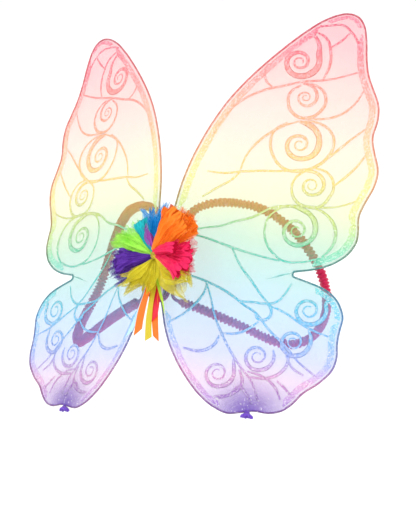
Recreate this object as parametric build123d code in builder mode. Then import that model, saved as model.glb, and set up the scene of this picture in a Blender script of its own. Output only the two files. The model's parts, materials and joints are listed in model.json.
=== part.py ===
from build123d import *

import os
from math import cos, radians, sin, tan

# Fairy wings: two wire frames covered in stocking fabric, hinged along a padded
# spine, with a tulle rosette, ribbons and a gathered shoulder strap each side.
#
# Frame: origin at the centre of the back pad's wearer side, +Y towards the wearer,
# -Y the decorated side, +X to the right seen from behind the wearer, +Z up.

os.makedirs("parts", exist_ok=True)

# ---------------------------------------------------------------- driving sizes
WIRE_R = 1.0                 # frame wire radius
GAP = 0.2                    # soft pieces sewn side by side
RUNNING = 0.05               # radial clearance of a piece that turns

WING_SWEEP = 20.3            # each wing leans this far towards the wearer, degrees
ROOT_X = 4.0                 # root wire from the centre plane
ROOT_Y = -17.0               # root wires' depth behind the wearer side
FABRIC_T = 1.0               # two layers of stocking and their glitter
ROOT_RELIEF = 8.5            # membrane starts this far out beside the bindings
ROOT_RELIEF_H = 27.0         # over this height above and below the middle

PAD_W, PAD_H, PAD_T = 26.0, 92.0, 4.0
SPINE_W, SPINE_H = 16.0, 80.0
BOARD_T = 2.1
BRIDGE_W = 5.0               # board left between the strap keepers' tails
BINDING_W, BINDING_T, BINDING_H = 18.0, 9.0, 6.0
BINDING_PITCH = 19.0
BASE_R, BASE_T = 9.0, 1.5

STRAP_X, STRAP_Y = 18.0, -4.4    # upright line that each strap's ends turn on
ELASTIC_R = 1.9
COVER_R, COVER_WALL = 4.5, 2.3
KEEPER_Z, KEEPER_H, KEEPER_WALL = 30.0, 8.0, 1.2

PINCH_X, PINCH_Z = 5.0, -3.0     # where the rosette is tied
TIE_R, TIE_H = 4.0, 13.0
PETAL_T = 1.6
RIBBON_T = 0.6
RIBBON_GATHER = 14.0             # each ribbon reaches its full width this far down
TOP_HALF = 1.2                   # and starts at twice this width

KNOT_R, KNOT_H = 4.2, 9.0        # tied-off end of the stocking
KNOT_OUT, KNOT_TOP = 117.0, -160.6

# Frame wire, one wing seen flat from the decorated side: outwards from the root
# wire, and up. The root wire is the straight between the last and first points.
WING_OUTLINE = [
    (0, 33), (6, 57), (10, 92), (19, 128), (32, 163), (48, 196), (69, 227), (93, 256),
    (118, 283), (140, 303), (156, 313), (171, 318), (184, 315), (192, 303), (196, 284),
    (198, 262), (202, 241), (210, 223), (218, 206), (219, 186), (214, 165), (219, 146),
    (226, 126), (223, 106), (215, 88), (209, 70), (211, 55), (211, 41), (203, 25),
    (187, 12), (167, 4), (146, 0), (146, -6), (165, -11), (184, -17), (198, -28),
    (206, -46), (203, -61), (202, -76), (204, -90), (201, -105), (188, -121),
    (172, -133), (164, -145), (153, -155), (139, -159), (124, -157), (109, -161),
    (96, -164), (79, -158), (62, -146), (47, -130), (34, -113), (23, -94), (15, -74),
    (9, -51), (0, -30),
]

# Right shoulder strap, from its upper anchor over the shoulder, down the front and
# back under the arm to its lower anchor.
STRAP_ROUTE = [
    (STRAP_X, STRAP_Y, 23), (STRAP_X, STRAP_Y, 50), (29, 5, 69), (47, 14, 77), (67, 26, 80),
    (86, 41, 80), (104, 59, 73), (121, 78, 59), (136, 95, 39), (147, 106, 15),
    (155, 104, -12), (158, 95, -36), (154, 83, -57), (144, 70, -71), (130, 57, -76),
    (113, 45, -72), (93, 35, -64), (72, 24, -57), (51, 13, -51), (31, 3, -46),
    (STRAP_X, STRAP_Y, -43), (STRAP_X, STRAP_Y, -24),
]
BARE_UPPER = 0.55            # share of the first run where the elastic shows bare
COVERED_LOWER = 0.5          # share of the last run but one that the cover reaches


# ------------------------------------------------------------------- functions
def bend_radii(points, closed):
    """Bend radius at each corner: 0.45 of its shorter run over tan of half its turn."""
    count = len(points)
    places = range(count) if closed else range(1, count - 1)
    radii = []
    for i in places:
        before = Vector(points[i]) - Vector(points[i - 1])
        after = Vector(points[(i + 1) % count]) - Vector(points[i])
        turn = radians(before.get_angle(after))
        radii.append(0.45 * min(before.length, after.length) / tan(turn / 2))
    return radii


def part_way(start, end, share):
    """The point a share of the way from start to end."""
    return tuple(a + (b - a) * share for a, b in zip(start, end))


def mirrored(points):
    """The same route on the other side of the centre plane."""
    return [(-x, y, z) for x, y, z in points]


def save(piece, label):
    """Label a finished piece and write its STEP file."""
    piece.part.label = label
    export_step(piece.part, f"parts/{label}.step")


def wing_plane(side):
    """A wing's own plane: x outwards from its root wire, y up, normal to the back."""
    lean = radians(WING_SWEEP)
    out = Vector(side * cos(lean), sin(lean), 0)
    return Plane(origin=(side * ROOT_X, ROOT_Y, 0), x_dir=out, z_dir=out.cross(Vector(0, 0, 1)))


# ------------------------------------------------------------------- the wings
def wing_wire(side, label):
    """Closed loop of bent wire whose straight root edge is the wing's hinge."""
    plane = wing_plane(side)
    with BuildPart() as wire:
        with BuildLine(plane) as loop:
            FilletPolyline(*WING_OUTLINE, radius=bend_radii(WING_OUTLINE, True), close=True)
        with BuildSketch(Plane(origin=loop.line @ 0, z_dir=loop.line % 0)):
            Circle(WIRE_R)
        sweep(path=loop.line)
    save(wire, label)


def wing_membrane(side, label):
    """Stocking stretched across the wire, cut away at the root for the bindings."""
    plane = wing_plane(side)
    with BuildPart() as membrane:
        with BuildSketch(plane):
            with BuildLine():
                FilletPolyline(*WING_OUTLINE, radius=bend_radii(WING_OUTLINE, True), close=True)
            make_face()
            offset(amount=-(WIRE_R + GAP))
            Rectangle(2 * ROOT_RELIEF, 2 * ROOT_RELIEF_H, mode=Mode.SUBTRACT)
        extrude(amount=FABRIC_T / 2, both=True)
    save(membrane, label)


def knot_and_thread(side, name):
    """The stocking's tied-off end below the lower lobe, and the thread round it."""
    plane = wing_plane(side)
    top = KNOT_TOP
    with BuildPart() as knot:
        with BuildSketch(plane) as profile:
            with BuildLine():
                Polyline(
                    (KNOT_OUT, top), (KNOT_OUT + 2.0, top), (KNOT_OUT + 1.6, top - 2.6),
                    (KNOT_OUT + KNOT_R, top - KNOT_H), (KNOT_OUT, top - KNOT_H - 1.0),
                    close=True,
                )
            make_face()
        revolve(axis=Axis(plane.from_local_coords((KNOT_OUT, 0, 0)), (0, 0, 1)))
    save(knot, f"{name}_stocking_knot")
    with BuildPart() as thread:
        with BuildSketch(plane):
            with Locations((KNOT_OUT + 2.9, top - 2.4)):
                Circle(0.8)
        revolve(axis=Axis(plane.from_local_coords((KNOT_OUT, 0, 0)), (0, 0, 1)))
    save(thread, f"{name}_knot_thread")


for side, name in ((1, "right"), (-1, "left")):
    wing_wire(side, f"{name}_wing_wire")
    wing_membrane(side, f"{name}_wing_membrane")
    knot_and_thread(side, name)

# --------------------------------------------------------------------- the hub
with BuildPart() as back_pad:
    with BuildSketch(Plane.XZ):
        RectangleRounded(PAD_W, PAD_H, 11)
    extrude(amount=PAD_T)
save(back_pad, "back_pad")

board_front = -(PAD_T + GAP / 2)
with BuildPart() as spine_board:
    with BuildSketch(Plane.XZ.offset(-board_front)):
        RectangleRounded(SPINE_W, SPINE_H, 4)
        with GridLocations(SPINE_W, 2 * KEEPER_Z, 2, 2):
            Rectangle(SPINE_W - BRIDGE_W, KEEPER_H + 2 * GAP, mode=Mode.SUBTRACT)
    extrude(amount=BOARD_T)
save(spine_board, "spine_board")

cushion_front = board_front - BOARD_T - GAP / 2
binding_front = ROOT_Y + BINDING_T / 2
with BuildPart() as spine_cushion:
    with BuildSketch(Plane.XZ.offset(-cushion_front)):
        RectangleRounded(SPINE_W, SPINE_H, 6)
    extrude(amount=cushion_front - binding_front - GAP)
save(spine_cushion, "spine_cushion")

for place, name in ((1, "upper"), (0, "middle"), (-1, "lower")):
    height = place * BINDING_PITCH
    with BuildPart() as binding:
        with BuildSketch(Plane.XY.offset(height - BINDING_H / 2)):
            with Locations((0, ROOT_Y)):
                RectangleRounded(BINDING_W, BINDING_T, 3.5)
            with Locations((ROOT_X, ROOT_Y), (-ROOT_X, ROOT_Y)):
                Circle(WIRE_R + RUNNING, mode=Mode.SUBTRACT)
        extrude(amount=BINDING_H)
    save(binding, f"{name}_root_binding")


def strap_keeper(side, place, label):
    """Tape loop that a strap's rolled end turns in, its tail under the spine board."""
    bore = ELASTIC_R + RUNNING
    tail = STRAP_X - bore
    tail_start = BRIDGE_W / 2 + GAP
    with BuildPart() as keeper:
        with BuildSketch(Plane.XY.offset(place * KEEPER_Z - KEEPER_H / 2)):
            with Locations((side * STRAP_X, STRAP_Y)):
                Circle(bore + KEEPER_WALL)
            with Locations((side * (tail + tail_start) / 2, board_front - BOARD_T / 2)):
                Rectangle(tail - tail_start, BOARD_T)
            with Locations((side * STRAP_X, STRAP_Y)):
                Circle(bore, mode=Mode.SUBTRACT)
        extrude(amount=KEEPER_H)
    save(keeper, label)


for side, hand in ((1, "right"), (-1, "left")):
    for place, level in ((1, "upper"), (-1, "lower")):
        strap_keeper(side, place, f"{hand}_{level}_strap_keeper")


# ------------------------------------------------------------------ the straps
def strap(side, name):
    """Flat elastic, modelled round, and the gathered cover drawn up along it."""
    route = STRAP_ROUTE if side > 0 else mirrored(STRAP_ROUTE)
    radii = bend_radii(route, False)
    with BuildPart() as elastic:
        with BuildLine() as path:
            FilletPolyline(*route, radius=radii)
        with BuildSketch(Plane(origin=path.line @ 0, z_dir=path.line % 0)):
            Circle(ELASTIC_R)
        sweep(path=path.line)
    save(elastic, f"{name}_strap_elastic")

    covered = route[:-1]
    covered[0] = part_way(route[0], route[1], BARE_UPPER)
    covered[-1] = part_way(route[-3], route[-2], COVERED_LOWER)
    with BuildPart() as cover:
        with BuildLine() as path:
            FilletPolyline(*covered, radius=radii[:-1])
        with BuildSketch(Plane(origin=path.line @ 0, z_dir=path.line % 0)):
            Circle(COVER_R)
            Circle(COVER_R - COVER_WALL, mode=Mode.SUBTRACT)
        sweep(path=path.line)
    save(cover, f"{name}_strap_cover")
    return elastic, radii


for side, name in ((1, "right"), (-1, "left")):
    elastic, radii = strap(side, name)
print("strap bend radii", [round(r, 1) for r in radii])

# ----------------------------------------------------------------- the rosette
base_front = ROOT_Y - BINDING_T / 2 - GAP
with BuildPart() as rosette_base:
    with BuildSketch(Plane.XZ.offset(-base_front)):
        Circle(BASE_R)
    extrude(amount=BASE_T)
save(rosette_base, "rosette_base")

tie_front = base_front - BASE_T - GAP
with BuildPart() as centre_tie:
    with BuildSketch(Plane.XZ.offset(-tie_front)):
        with Locations((PINCH_X, PINCH_Z)):
            Circle(TIE_R)
    extrude(amount=TIE_H)
    fillet(centre_tie.edges().group_by(Axis.Y)[0], 1.5)
save(centre_tie, "centre_tie")


def tulle_petal(label, first, last, reach, layer, lean):
    """A fan of gathered tulle from one angle round to another, as a thin cone."""
    root = tie_front - 0.4 - layer * (PETAL_T + 2 * GAP)
    start = TIE_R + 0.3
    tip = root - lean * reach
    across = Vector(cos(radians(first)), 0, sin(radians(first)))
    section = Plane(origin=(PINCH_X, 0, PINCH_Z), x_dir=across, z_dir=across.cross(Vector(0, 1, 0)))
    with BuildPart() as petal:
        with BuildSketch(section):
            with BuildLine():
                Polyline(
                    (start, root), (reach, tip), (reach, tip - PETAL_T),
                    (start, root - PETAL_T), close=True,
                )
            make_face()
        revolve(axis=Axis((PINCH_X, 0, PINCH_Z), (0, -1, 0)), revolution_arc=last - first)
    save(petal, label)


# label, first angle, last angle, reach, layer from the back, forward lean
PETALS = [
    ("blue_tulle", 80, 116, 64, 0, 0.08),
    ("lime_tulle", 132, 167, 54, 0, 0.08),
    ("purple_tulle", 170, 216, 58, 0, 0.08),
    ("yellow_tulle_left", 219, 236, 52, 0, 0.10),
    ("yellow_tulle_right", 304, 345, 72, 0, 0.16),
    ("orange_tulle_back", 26, 74, 58, 0, 0.16),
    ("turquoise_tulle", 100, 128, 44, 2, 0.30),
    ("lilac_tulle", 74, 97, 50, 2, 0.30),
    ("orange_tulle_loops", 20, 70, 52, 2, 0.36),
    ("crimson_tulle", 318, 368, 62, 2, 0.30),
    ("lime_tulle_front", 142, 172, 42, 2, 0.30),
    ("purple_tulle_front", 176, 212, 44, 2, 0.30),
    ("yellow_tulle_centre", 216, 243, 46, 2, 0.30),
    ("pink_tulle", 350, 372, 42, 4, 0.50),
]
for label, first, last, reach, layer, lean in PETALS:
    tulle_petal(label, first, last, reach, layer, lean)


def ribbon(label, top_x, end_x, end_z, width, layer):
    """A narrow ribbon gathered under the tie and hanging from it."""
    top_z = PINCH_Z - TIE_R - 0.4
    spread_z = top_z - RIBBON_GATHER
    spread_x = top_x + (end_x - top_x) * RIBBON_GATHER / (top_z - end_z)
    depth = tie_front - 0.6 - layer * (RIBBON_T + 2 * GAP)
    with BuildPart() as strip:
        with BuildSketch(Plane.XZ.offset(-depth)):
            with BuildLine():
                Polyline(
                    (top_x - TOP_HALF, top_z), (top_x + TOP_HALF, top_z),
                    (spread_x + width / 2, spread_z), (end_x + width / 2, end_z),
                    (end_x - width / 2, end_z), (spread_x - width / 2, spread_z),
                    close=True,
                )
            make_face()
        extrude(amount=RIBBON_T)
    save(strip, label)


# label, top x, end x, end z, width, layer from the back
RIBBONS = [
    ("pale_blue_ribbon", 3.6, -13, -90, 7.0, 0),
    ("orange_ribbon_right", 6.0, 17, -95, 8.0, 1),
    ("red_ribbon", 6.0, 15, -74, 8.0, 2),
    ("yellow_ribbon", 5.0, 10, -96, 7.0, 3),
    ("orange_ribbon_left", 4.4, -4, -89, 8.5, 4),
    ("lime_ribbon", 6.4, 23, -64, 6.0, 5),
]
for label, top_x, end_x, end_z, width, layer in RIBBONS:
    ribbon(label, top_x, end_x, end_z, width, layer)
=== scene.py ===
"""Fairy wings: rainbow stocking on bent wire, a tulle rosette, ribbons and shoulder straps."""

import json
import logging
import math
import random
from dataclasses import dataclass
from enum import Enum
from typing import Callable, Sequence

import bmesh
import bpy
from mathutils import Matrix, Vector, kdtree, noise
from mathutils.bvhtree import BVHTree


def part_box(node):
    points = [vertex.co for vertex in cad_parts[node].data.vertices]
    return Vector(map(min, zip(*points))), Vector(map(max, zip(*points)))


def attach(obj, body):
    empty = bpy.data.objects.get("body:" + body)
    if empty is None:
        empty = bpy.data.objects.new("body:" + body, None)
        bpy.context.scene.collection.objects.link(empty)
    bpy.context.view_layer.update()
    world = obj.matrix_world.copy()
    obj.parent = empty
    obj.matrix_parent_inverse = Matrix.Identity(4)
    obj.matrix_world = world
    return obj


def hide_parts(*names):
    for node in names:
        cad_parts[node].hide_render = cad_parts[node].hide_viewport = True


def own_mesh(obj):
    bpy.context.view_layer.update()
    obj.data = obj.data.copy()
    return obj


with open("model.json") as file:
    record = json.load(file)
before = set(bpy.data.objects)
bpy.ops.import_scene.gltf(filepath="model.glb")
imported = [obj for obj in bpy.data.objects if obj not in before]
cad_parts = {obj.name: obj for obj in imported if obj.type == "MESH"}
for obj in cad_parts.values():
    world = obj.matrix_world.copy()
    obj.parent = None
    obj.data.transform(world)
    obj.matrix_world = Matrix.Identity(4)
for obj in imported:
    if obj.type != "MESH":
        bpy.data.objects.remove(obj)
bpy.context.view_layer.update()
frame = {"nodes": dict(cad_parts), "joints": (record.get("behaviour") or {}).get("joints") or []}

MM = 0.001
Point = tuple[float, float]
Colour = tuple[float, float, float]

log = logging.getLogger("fairy_wings")


class Side(Enum):
    """Which wing or strap, seen from behind the wearer."""

    RIGHT = 1
    LEFT = -1

    @property
    def word(self) -> str:
        """The side's word in the names of nodes and bodies."""
        return self.name.lower()


# ---------------------------------------------------------------- small helpers
def blend_values(low: float, high: float, share: float) -> float:
    """Straight mix of two numbers."""
    return low + (high - low) * share


def soft_step(low: float, high: float, value: float) -> float:
    """Smooth rise from 0 at low to 1 at high."""
    t = min(1.0, max(0.0, (value - low) / (high - low)))
    return t * t * (3.0 - 2.0 * t)


def joint(name: str) -> dict:
    """The frame's joint of that name."""
    return next(j for j in frame["joints"] if j["name"] == name)


def rough(x: float, y: float, z: float = 0.0) -> float:
    """Repeatable noise between about -1 and 1."""
    return noise.noise(Vector((x, y, z)))


def from_bmesh(name: str, bm: bmesh.types.BMesh, material: bpy.types.Material) -> bpy.types.Object:
    """Turn a bmesh into a smooth shaded object with one material, and free it.

    Args:
        name: the piece's name.
        bm: the finished bmesh, in the frame's coordinates.
        material: the finish it wears.

    Returns:
        The new object.
    """
    mesh = bpy.data.meshes.new(name)
    bm.to_mesh(mesh)
    bm.free()
    mesh.materials.append(material)
    mesh.polygons.foreach_set("use_smooth", [True] * len(mesh.polygons))
    piece = bpy.data.objects.new(name, mesh)
    bpy.context.scene.collection.objects.link(piece)
    return piece


def join_into(bm: bmesh.types.BMesh, part: bmesh.types.BMesh) -> None:
    """Add a part's faces to a bmesh and free the part."""
    holder = bpy.data.meshes.new("part")
    part.to_mesh(holder)
    part.free()
    bm.from_mesh(holder)


def dress(node: str, material: bpy.types.Material) -> None:
    """Give a CAD node that stays in sight its finish."""
    slots = frame["nodes"][node].data.materials
    slots.clear()
    slots.append(material)


def round_section(sides: int) -> list[Point]:
    """Corners of an even section of radius 1, for thread."""
    return [(math.cos(math.tau * k / sides), math.sin(math.tau * k / sides)) for k in range(sides)]


def mapped_grid(columns: int, rows: int, place: Callable[[float, float], Vector]) -> bmesh.types.BMesh:
    """A grid whose corners 0..1 by 0..1 are carried to new places.

    Args:
        columns: squares across.
        rows: squares along.
        place: gives a point for each (across, along) share.

    Returns:
        A bmesh of the placed grid, with the shares kept as its UV map.
    """
    bm = bmesh.new()
    bmesh.ops.create_grid(bm, x_segments=columns, y_segments=rows, size=0.5)
    uv = bm.loops.layers.uv.new("cloth")
    for face in bm.faces:
        for loop in face.loops:
            loop[uv].uv = (loop.vert.co.x + 0.5, loop.vert.co.y + 0.5)
    for vert in bm.verts:
        vert.co = place(vert.co.x + 0.5, vert.co.y + 0.5)
    return bm


class Swept:
    """Curves with a shaped cross-section, gathered up and turned into one mesh."""

    def __init__(self, profile: Sequence[Point], upright: bool = True) -> None:
        """Start with no curves.

        Args:
            profile: closed cross-section, across and up, for a radius of 1.
            upright: hold the section level, as on a flat surface.
        """
        self.data = bpy.data.curves.new("swept", "CURVE")
        self.data.dimensions = "3D"
        self.data.twist_mode = "Z_UP" if upright else "MINIMUM"
        self.data.resolution_u = 6
        self.data.bevel_mode = "OBJECT"
        self.data.use_fill_caps = True
        section = bpy.data.curves.new("section", "CURVE")
        line = section.splines.new("POLY")
        line.points.add(len(profile) - 1)
        for point, (x, y) in zip(line.points, profile):
            point.co = (x, y, 0.0, 1.0)
        line.use_cyclic_u = True
        self.section = bpy.data.objects.new("section", section)
        bpy.context.scene.collection.objects.link(self.section)
        self.data.bevel_object = self.section

    def add(self, points: Sequence[Sequence[float]], radii: Sequence[float]) -> None:
        """Add one smooth curve through points, with its size at each.

        Args:
            points: places in metres, two or three numbers each.
            radii: the section's size at each point.
        """
        spline = self.data.splines.new("BEZIER")
        spline.bezier_points.add(len(points) - 1)
        spline.radius_interpolation = "EASE"
        for knot, place, radius in zip(spline.bezier_points, points, radii):
            knot.co = (place[0], place[1], place[2] if len(place) > 2 else 0.0)
            knot.handle_left_type = knot.handle_right_type = "AUTO"
            knot.radius = radius

    def faces(self) -> bmesh.types.BMesh:
        """The curves as one bmesh, with the working objects removed."""
        holder = bpy.data.objects.new("holder", self.data)
        bpy.context.scene.collection.objects.link(holder)
        bpy.context.view_layer.update()
        graph = bpy.context.evaluated_depsgraph_get()
        mesh = bpy.data.meshes.new_from_object(holder.evaluated_get(graph))
        bpy.data.objects.remove(holder)
        bpy.data.objects.remove(self.section)
        bm = bmesh.new()
        bm.from_mesh(mesh)
        return bm


# -------------------------------------------------------------------- materials
class Shader:
    """A Principled material being wired, with short ways to add nodes."""

    def __init__(self, name: str, **values: float | tuple) -> None:
        """Make the material.

        Args:
            name: the material's name.
            values: plain values for the Principled sockets, spaces as underscores.
        """
        self.material = bpy.data.materials.new(name)
        self.material.use_nodes = True
        self.tree = self.material.node_tree
        self.bsdf = self.tree.nodes["Principled BSDF"]
        for key, value in values.items():
            self.bsdf.inputs[key.replace("_", " ")].default_value = value

    def node(self, kind: str, **settings: object) -> bpy.types.Node:
        """Add a node and set its plain properties."""
        made = self.tree.nodes.new(kind)
        for key, value in settings.items():
            setattr(made, key, value)
        return made

    def link(self, source: bpy.types.NodeSocket, target: bpy.types.NodeSocket) -> None:
        """Join an output to an input."""
        self.tree.links.new(source, target)

    def out(self, source: bpy.types.NodeSocket, socket: str) -> None:
        """Join an output to the Principled socket of that name."""
        self.link(source, self.bsdf.inputs[socket])

    def group(self, tree: bpy.types.NodeTree, **values: float | tuple) -> bpy.types.Node:
        """Place a shared group with its own input values."""
        made = self.node("ShaderNodeGroup", node_tree=tree)
        for key, value in values.items():
            made.inputs[key.replace("_", " ")].default_value = value
        return made


class Effects:
    """Shader groups that several finishes share."""

    def __init__(self) -> None:
        """Build each group once."""
        self.rainbow = self._rainbow()
        self.glitter = self._glitter()
        self.knit = self._knit()
        self.weave = self._weave()
        self.net = self._net()
        self.fuzz = self._fuzz()

    @staticmethod
    def _start(name: str, inputs: dict[str, float | Colour], outputs: dict[str, str]):
        """Make an empty group with named sockets.

        Args:
            name: the group's name.
            inputs: socket names with their usual values, numbers or colours.
            outputs: socket names with their kinds.

        Returns:
            The group, its input node, its output node and a function that adds nodes.
        """
        tree = bpy.data.node_groups.new(name, "ShaderNodeTree")
        for key, value in inputs.items():
            kind = "NodeSocketFloat" if isinstance(value, (int, float)) else "NodeSocketColor"
            socket = tree.interface.new_socket(name=key, in_out="INPUT", socket_type=kind)
            socket.default_value = value if kind == "NodeSocketFloat" else (*value, 1.0)
        for key, kind in outputs.items():
            tree.interface.new_socket(name=key, in_out="OUTPUT", socket_type=kind)
        source = tree.nodes.new("NodeGroupInput")
        sink = tree.nodes.new("NodeGroupOutput")

        def add(kind: str, joined: dict | None = None, **settings: object) -> bpy.types.Node:
            """Add a node, set its properties, then join or fill its inputs by place or name."""
            made = tree.nodes.new(kind)
            for key, value in settings.items():
                setattr(made, key, value)
            for key, value in (joined or {}).items():
                if isinstance(value, bpy.types.NodeSocket):
                    tree.links.new(value, made.inputs[key])
                else:
                    made.inputs[key].default_value = value
            return made

        return tree, source, sink, add

    @staticmethod
    def ramp(element_node: bpy.types.Node, stops: Sequence[tuple[float, Colour]]) -> None:
        """Fill a colour ramp with stops.

        Args:
            element_node: the ramp node.
            stops: place from 0 to 1 and colour, low to high.
        """
        elements = element_node.color_ramp.elements
        for place, colour in stops[1:-1]:
            elements.new(place).color = (*colour, 1.0)
        for element, (place, colour) in zip(elements, stops):
            element.position = place
            element.color = (*colour, 1.0)

    def _rainbow(self) -> bpy.types.NodeTree:
        """Dip-dyed colour by height, with violet round the tied-off stocking end."""
        tree, _, sink, add = self._start(
            "dip dye",
            {},
            {"Sheer": "NodeSocketColor", "Rich": "NodeSocketColor", "Knot": "NodeSocketFloat"},
        )
        place = add("ShaderNodeTexCoord").outputs["Object"]
        wander = add("ShaderNodeTexNoise", {"Vector": place, "Scale": 9.0, "Detail": 2.0})
        parts = add("ShaderNodeSeparateXYZ", {0: place})
        drift = add("ShaderNodeMath", {0: wander.outputs[0], 1: 0.5}, operation="SUBTRACT")
        shifted = add("ShaderNodeMath", {0: drift.outputs[0], 1: 0.045, 2: parts.outputs["Z"]},
                      operation="MULTIPLY_ADD")
        height = add("ShaderNodeMapRange", {0: shifted.outputs[0], 1: DYE_LOW, 2: DYE_HIGH})
        sheer = add("ShaderNodeValToRGB", {0: height.outputs[0]})
        rich = add("ShaderNodeValToRGB", {0: height.outputs[0]})
        self.ramp(sheer, [(dye_share(z), c) for z, c, _ in DYE])
        self.ramp(rich, [(dye_share(z), c) for z, _, c in DYE])
        # distance to the knots, the same on both wings
        across = add("ShaderNodeMath", {0: parts.outputs["X"]}, operation="ABSOLUTE")
        flat = add("ShaderNodeCombineXYZ", {0: across.outputs[0], 2: parts.outputs["Z"]})
        away = add("ShaderNodeVectorMath", {0: flat.outputs[0], 1: KNOT_CENTRE}, operation="DISTANCE")
        near = add("ShaderNodeMapRange", {0: away.outputs["Value"], 1: 0.052, 2: 0.004})
        squared = add("ShaderNodeMath", {0: near.outputs[0], 1: 1.6}, operation="POWER")
        for ramp_node, key in ((sheer, "Sheer"), (rich, "Rich")):
            mixed = add("ShaderNodeMix", {0: squared.outputs[0], 6: ramp_node.outputs[0],
                                          7: (0.13, 0.05, 0.42, 1.0)}, data_type="RGBA")
            tree.links.new(mixed.outputs[2], sink.inputs[key])
        tree.links.new(squared.outputs[0], sink.inputs["Knot"])
        return tree

    def _glitter(self) -> bpy.types.NodeTree:
        """Flakes of glitter: a random brightness and tilt for each small cell."""
        tree, source, sink, add = self._start(
            "glitter flakes",
            {"Size": 0.0007, "Share": 0.35, "Relief": 0.4},
            {"Flake": "NodeSocketFloat", "Bright": "NodeSocketFloat", "Normal": "NodeSocketVector"},
        )
        place = add("ShaderNodeTexCoord").outputs["Object"]
        scale = add("ShaderNodeMath", {0: 1.0, 1: source.outputs["Size"]}, operation="DIVIDE")
        cells = add("ShaderNodeTexVoronoi", {"Vector": place, "Scale": scale.outputs[0]})
        parts = add("ShaderNodeSeparateColor", {0: cells.outputs["Color"]})
        flake = add("ShaderNodeMath", {0: parts.outputs[0], 1: source.outputs["Share"]},
                    operation="LESS_THAN")
        relief = add("ShaderNodeMath", {0: parts.outputs[1], 1: cells.outputs["Distance"]},
                     operation="SUBTRACT")
        bump = add("ShaderNodeBump", {"Strength": source.outputs["Relief"], "Distance": 0.0004,
                                      "Height": relief.outputs[0]})
        tree.links.new(flake.outputs[0], sink.inputs["Flake"])
        tree.links.new(parts.outputs[2], sink.inputs["Bright"])
        tree.links.new(bump.outputs[0], sink.inputs["Normal"])
        return tree

    def _knit(self) -> bpy.types.NodeTree:
        """Fine knit of stretched stocking, read from the cloth's own map."""
        tree, source, sink, add = self._start(
            "stocking knit",
            {"Across": 300.0, "Along": 500.0},
            {"Yarn": "NodeSocketFloat"},
        )
        uv = add("ShaderNodeUVMap", uv_map="cloth").outputs[0]
        parts = add("ShaderNodeSeparateXYZ", {0: uv})
        waves = []
        for axis, key in ((0, "Across"), (1, "Along")):
            turns = add("ShaderNodeMath", {0: source.outputs[key], 1: math.tau}, operation="MULTIPLY")
            phase = add("ShaderNodeMath", {0: parts.outputs[axis], 1: turns.outputs[0]},
                        operation="MULTIPLY")
            wave = add("ShaderNodeMath", {0: phase.outputs[0]}, operation="SINE")
            waves.append(add("ShaderNodeMath", {0: wave.outputs[0], 1: 0.25, 2: 0.25},
                             operation="MULTIPLY_ADD"))
        yarn = add("ShaderNodeMath", {0: waves[0].outputs[0], 1: waves[1].outputs[0]})
        tree.links.new(yarn.outputs[0], sink.inputs["Yarn"])
        return tree

    def _weave(self) -> bpy.types.NodeTree:
        """Crossing threads of ribbon, tape and satin, as a height and a shade."""
        tree, source, sink, add = self._start(
            "weave",
            {"Across": 30.0, "Along": 200.0, "Relief": 0.2},
            {"Shade": "NodeSocketFloat", "Normal": "NodeSocketVector"},
        )
        uv = add("ShaderNodeUVMap", uv_map="cloth").outputs[0]
        scale = add("ShaderNodeCombineXYZ", {0: source.outputs["Across"], 1: source.outputs["Along"]})
        spread = add("ShaderNodeVectorMath", {0: uv, 1: scale.outputs[0]}, operation="MULTIPLY")
        threads = add("ShaderNodeTexChecker", {"Vector": spread.outputs[0], "Scale": 1.0})
        grain = add("ShaderNodeTexNoise", {"Vector": spread.outputs[0], "Scale": 0.35, "Detail": 3.0})
        both = add("ShaderNodeMath", {0: threads.outputs["Fac"], 1: 0.35, 2: grain.outputs[0]},
                   operation="MULTIPLY_ADD")
        bump = add("ShaderNodeBump", {"Strength": source.outputs["Relief"], "Distance": 0.0002,
                                      "Height": both.outputs[0]})
        tree.links.new(both.outputs[0], sink.inputs["Shade"])
        tree.links.new(bump.outputs[0], sink.inputs["Normal"])
        return tree

    def _net(self) -> bpy.types.NodeTree:
        """Fine net of tulle: threads round small cells, and folds that look denser."""
        tree, source, sink, add = self._start(
            "tulle net",
            {"Size": 0.0011, "Open": 0.45, "Dense": 0.9, "Fade": 0.4},
            {"Cover": "NodeSocketFloat", "Shade": "NodeSocketFloat"},
        )
        place = add("ShaderNodeTexCoord").outputs["Object"]
        scale = add("ShaderNodeMath", {0: 1.0, 1: source.outputs["Size"]}, operation="DIVIDE")
        cells = add("ShaderNodeTexVoronoi", {"Vector": place, "Scale": scale.outputs[0],
                                             "Randomness": 0.5}, feature="DISTANCE_TO_EDGE")
        thread = add("ShaderNodeMapRange", {0: cells.outputs["Distance"], 1: 0.16, 2: 0.06})
        cover = add("ShaderNodeMapRange", {0: thread.outputs[0], 3: source.outputs["Open"],
                                           4: source.outputs["Dense"]})
        shade = add("ShaderNodeTexNoise", {"Vector": place, "Scale": 160.0, "Detail": 2.0})
        uv = add("ShaderNodeSeparateXYZ", {0: add("ShaderNodeUVMap", uv_map="cloth").outputs[0]})
        tip = add("ShaderNodeMapRange", {0: uv.outputs[1], 1: 0.5, 2: 1.0})
        loss = add("ShaderNodeMath", {0: tip.outputs[0], 1: source.outputs["Fade"]}, operation="MULTIPLY")
        keep = add("ShaderNodeMath", {0: 1.0, 1: loss.outputs[0]}, operation="SUBTRACT")
        cover = add("ShaderNodeMath", {0: cover.outputs[0], 1: keep.outputs[0]}, operation="MULTIPLY")
        tree.links.new(cover.outputs[0], sink.inputs["Cover"])
        tree.links.new(shade.outputs[0], sink.inputs["Shade"])
        return tree

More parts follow.
